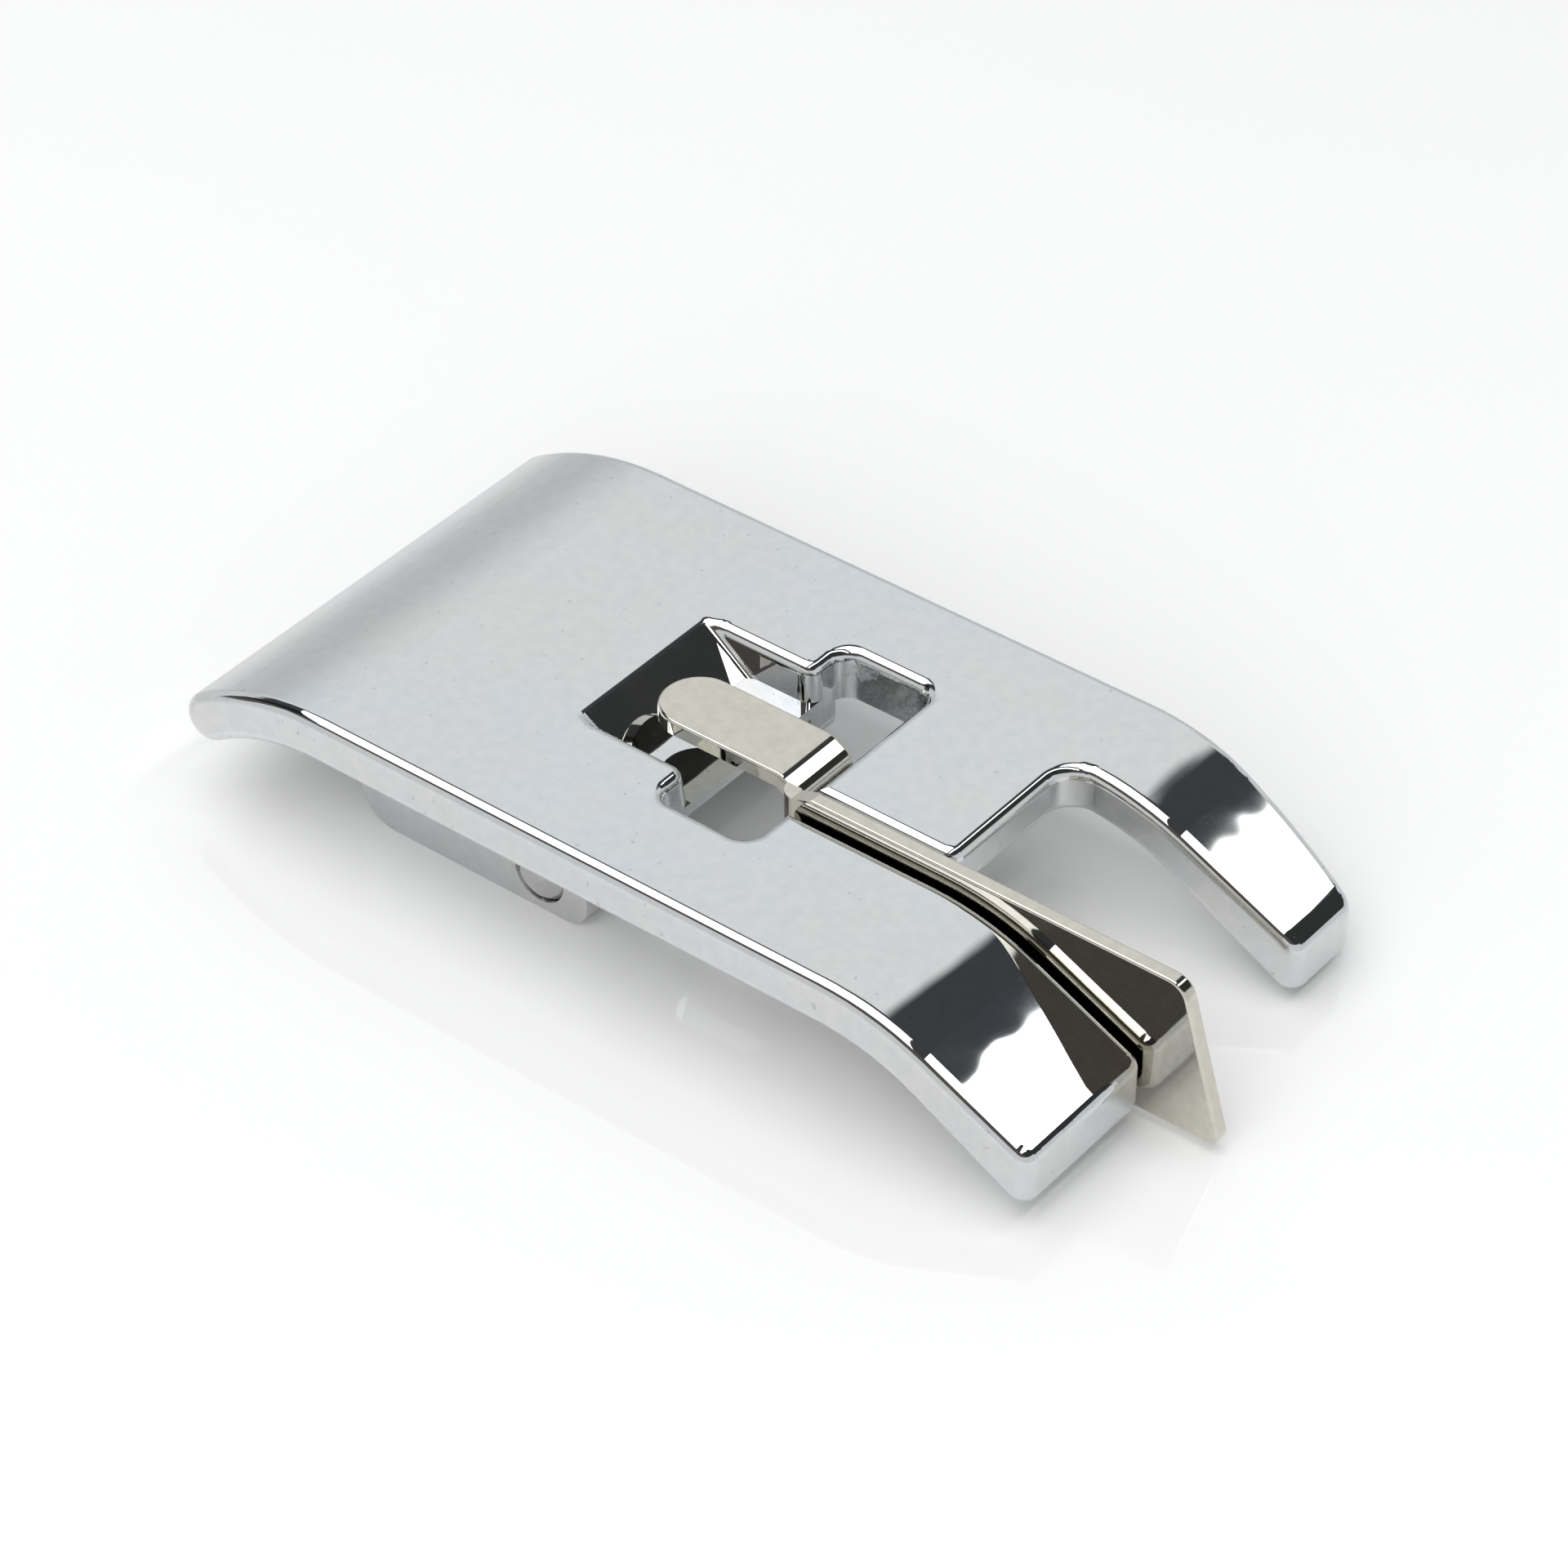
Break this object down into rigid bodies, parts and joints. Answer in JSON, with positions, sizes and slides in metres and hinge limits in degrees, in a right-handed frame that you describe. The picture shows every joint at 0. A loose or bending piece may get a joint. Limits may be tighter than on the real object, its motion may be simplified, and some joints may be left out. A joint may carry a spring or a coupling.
{
  "type": "sewing machine presser foot",
  "caption": "Clip-on overcasting presser foot: plated cast sole with wide and narrow toes, needle window, bent sheet edge guide with a stitch finger, and a snap bar between lugs.",
  "frame": {"origin": "centre of the bounding box's bottom, on the table the foot lies on sole up", "axes": "+Y from the toes to the heel, +X towards the narrow toe, +Z out of the sole"},
  "size_m": [0.016, 0.0334, 0.0055],
  "materials": {
    "plated_casting": "bright chrome plate with a slightly mottled polish",
    "bar_steel": "ground bar stock",
    "nickel_sheet": "nickel plate on bent sheet, slightly warm"
  },
  "bodies": {
    "root": {"foot_body": "plated_casting", "snap_bar": "bar_steel", "edge_guide": "nickel_sheet"}
  },
  "joints": []
}
